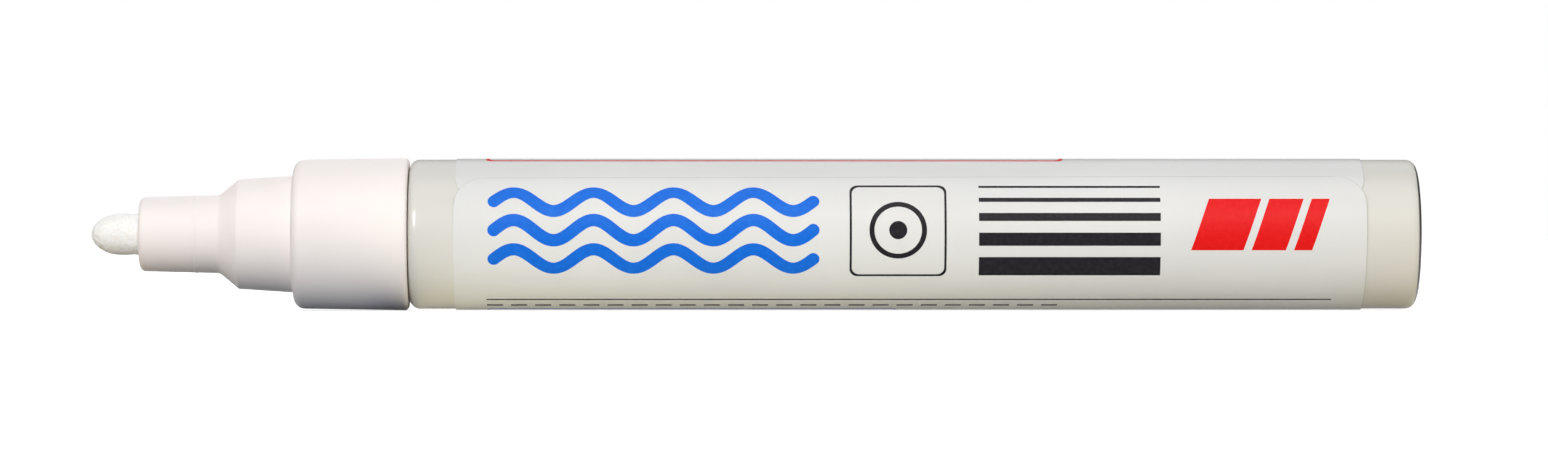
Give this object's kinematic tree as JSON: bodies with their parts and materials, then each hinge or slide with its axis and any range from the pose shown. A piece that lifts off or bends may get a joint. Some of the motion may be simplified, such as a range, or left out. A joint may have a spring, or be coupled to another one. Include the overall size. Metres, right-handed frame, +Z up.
{
  "type": "paint marker",
  "caption": "Valve-action paint marker lying with its cap off: bullet fibre nib in a stepped white nosepiece, necked cream barrel wrapped in a film label, sprung valve and mixing ball inside.",
  "frame": {"origin": "on the floor under the middle of the marker, which lies on its side", "axes": "+X along the marker from the nib to the tail, the front of the label faces -Y, +Z up"},
  "size_m": [0.1324, 0.0152, 0.0152],
  "materials": {
    "cream_lacquer": "satin",
    "label_film": "satin",
    "nose_plastic": "satin",
    "nib_fibre": "matte",
    "valve_plastic": "satin",
    "spring_steel": "satin",
    "gasket_rubber": "matte",
    "ball_steel": "polished"
  },
  "bodies": {
    "marker_body": {"barrel": "cream_lacquer", "barrel_label": "label_film", "front_holder": "nose_plastic", "valve_housing": "valve_plastic", "valve_spring": "spring_steel", "spring_retainer": "valve_plastic", "neck_gasket": "gasket_rubber"},
    "plunger": {"valve_plunger": "valve_plastic"},
    "writing_nib": {"nib": "nib_fibre"},
    "stirring_ball": {"mixing_ball": "ball_steel"}
  },
  "joints": [
    {"name": "valve_press", "type": "slide", "parent": "marker_body", "child": "plunger", "axis": [1, 0, 0], "range_m": [0, 0.0015], "stiffness_N_per_m": 800, "springref_m": -0.001, "deforming": ["valve_spring"]},
    {"name": "nib_pull", "type": "slide", "parent": "plunger", "child": "writing_nib", "axis": [1, 0, 0], "range_m": [-0.021, 0]},
    {"name": "ball_roll", "type": "slide", "parent": "marker_body", "child": "stirring_ball", "axis": [1, 0, 0], "range_m": [-0.055, 0.0265]}
  ]
}
